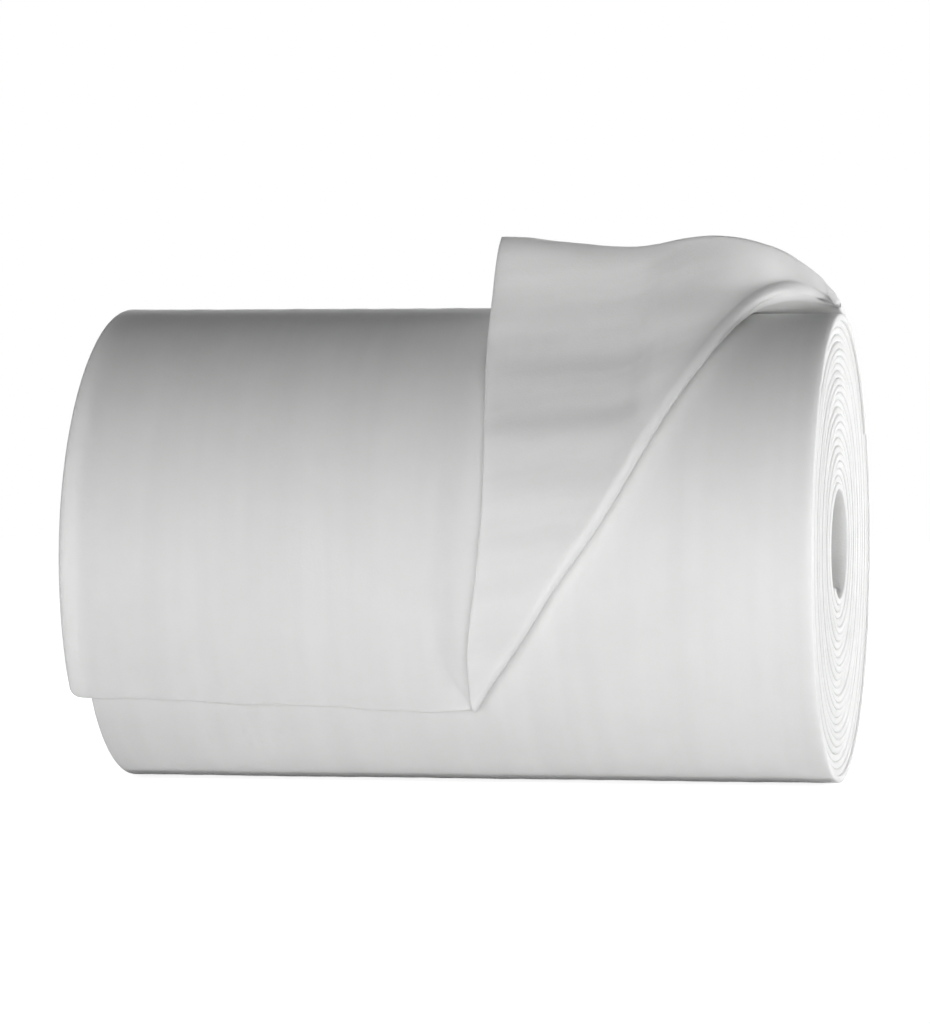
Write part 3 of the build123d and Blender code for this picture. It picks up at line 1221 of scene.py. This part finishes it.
@dataclass
class Studio:
    """A plain pale floor and backdrop, soft lamps and the camera.

    Attributes:
        floor_height: The level that the roll stands on.
        floor_colour: The floor's own colour.
        floor_size: Half its width.
        glow_near: How much of white the floor shows by itself under the roll.
        glow_far: The same away from the roll, where its shadow doesn't reach.
        glow_reach: Where the one has become the other, from the roll's middle.
        ambient: Strength of the light from all round.
        aim: The place at the picture's centre.
        distance: From there to the camera.
        azimuth: Degrees that the camera is turned from the front towards the right end.
        elevation: Degrees that it is above the level.
        lens: Focal length in millimetres.
    """

    floor_height: float
    floor_colour: tuple[float, float, float] = (0.82, 0.82, 0.82)
    floor_size: float = 9.0
    glow_near: float = 0.80
    glow_far: float = 1.0
    glow_reach: tuple[float, float] = (0.28, 0.85)
    ambient: float = 0.04
    aim: tuple[float, float, float] = (-0.0151, 0.0, 0.0226)
    distance: float = 3.663
    azimuth: float = 11.25
    elevation: float = 0.73
    lens: float = 183.57

    def floor(self) -> None:
        """Lay the floor, which the camera sees white except where the roll shades it."""
        size, z = self.floor_size, self.floor_height
        corners = [(-size, -size, z), (size, -size, z), (size, size, z), (-size, size, z)]
        mesh = bpy.data.meshes.new("floor")
        mesh.from_pydata(corners, [], [(0, 1, 2, 3)])
        obj = bpy.data.objects.new("floor", mesh)
        bpy.context.scene.collection.objects.link(obj)
        mat = bpy.data.materials.new("pale_floor")
        tree = shading(mat)
        matte = tree.node("ShaderNodeBsdfDiffuse", Color=(*self.floor_colour, 1.0))
        place = tree.node("ShaderNodeTexCoord").outputs["Object"]
        away = tree.node("ShaderNodeVectorMath", {"operation": "LENGTH"}, i0=place).outputs["Value"]
        near, far = self.glow_reach
        level = tree.node(
            "ShaderNodeMapRange",
            {"interpolation_type": "SMOOTHSTEP"},
            Value=away,
            From_Min=near,
            From_Max=far,
            To_Min=self.glow_near,
            To_Max=self.glow_far,
        ).outputs[0]
        glow = tree.node("ShaderNodeEmission", Strength=tree.math("MULTIPLY", seen_directly(tree), level))
        both = tree.node("ShaderNodeAddShader", i0=matte.outputs[0], i1=glow.outputs[0])
        tree.node("ShaderNodeOutputMaterial", Surface=both.outputs[0])
        mesh.materials.append(mat)

    def world(self) -> None:
        """Light softly from all round, and show a white background."""
        world = bpy.data.worlds.new("studio")
        bpy.context.scene.world = world
        tree = shading(world)
        dim = tree.node("ShaderNodeBackground", Color=WHITE, Strength=self.ambient)
        white = tree.node("ShaderNodeBackground", Color=WHITE, Strength=1.0)
        both = {"i1": dim.outputs[0], "i2": white.outputs[0]}
        mix = tree.node("ShaderNodeMixShader", i0=seen_directly(tree), **both)
        tree.node("ShaderNodeOutputWorld", Surface=mix.outputs[0])

    def lamps(self) -> None:
        """Hang the lamps: round the roll, and low in front facing up as a bright floor does."""
        low = self.floor_height + 0.004
        Lamp("front_lamp", (0.1, -1.5, -0.02), (0.0, 0.0, -0.02), (1.6, 0.28), 12.4).hang()
        Lamp("right_lamp", (1.45, 0.95, 0.05), (0.0, 0.0, 0.0), (0.7, 0.4), 21.5).hang()
        Lamp("rim_lamp", (0.36, -0.32, 0.0), (0.2, -0.1, 0.0), (0.12, 0.3), 0.06).hang()
        Lamp("back_lamp", (-0.3, 1.55, 0.52), (0.0, 0.0, 0.0), (1.4, 0.4), 13.0).hang()
        Lamp("near_floor_lamp", (0.1, -0.17, low), (0.1, -0.17, 1.0), (1.6, 0.25), 0.19).hang()
        Lamp("low_lamp", (0.1, -0.45, low), (0.1, -0.45, 1.0), (1.6, 0.3), 0.85).hang()

    def camera(self) -> None:
        """Set up the camera at the photograph's angle."""
        turn, tip = math.radians(self.azimuth), math.radians(self.elevation)
        away = Vector((math.sin(turn) * math.cos(tip), -math.cos(turn) * math.cos(tip), math.sin(tip)))
        data = bpy.data.cameras.new("camera")
        data.lens = self.lens
        data.sensor_width = 36.0
        data.clip_end = 60.0
        obj = bpy.data.objects.new("camera", data)
        obj.location = Vector(self.aim) + away * self.distance
        obj.rotation_euler = (-away).to_track_quat("-Z", "Y").to_euler()
        bpy.context.scene.collection.objects.link(obj)
        bpy.context.scene.camera = obj

    def build(self) -> None:
        """Make the whole studio."""
        self.camera()
        self.floor()
        self.world()
        self.lamps()
        bpy.context.scene.view_settings.view_transform = "Standard"


def adopt(piece: bpy.types.Object) -> None:
    """Tie a finished piece to the frame and report it.

    Args:
        piece: The piece, as a plain mesh.
    """
    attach(piece, BODY)
    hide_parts(NODE)
    triangles = sum(len(p.vertices) - 2 for p in piece.data.polygons)
    low = [min(v.co[k] for v in piece.data.vertices) for k in range(3)]
    high = [max(v.co[k] for v in piece.data.vertices) for k in range(3)]
    log.info("%s: %d triangles, from %s to %s", piece.name, triangles, np.round(low, 4), np.round(high, 4))


def main() -> None:
    """Build the roll and its studio, in order."""
    winding = Winding()
    finish = FoamFinish()
    Studio(floor_height=CAD_BOX[0].z - 0.0003).build()
    turns = WoundTurns(winding).build(finish.material(FoamFace.CUT_EDGE))
    adopt(turns)
    sheet = LooseTurn(winding).build(finish.material(FoamFace.SKIN))
    adopt(sheet)
    measured = sum(p.area for p in sheet.data.polygons) / 2
    log.info("%s: one face %.4f square metres", sheet.name, measured)


if __name__ == "__main__":
    main()
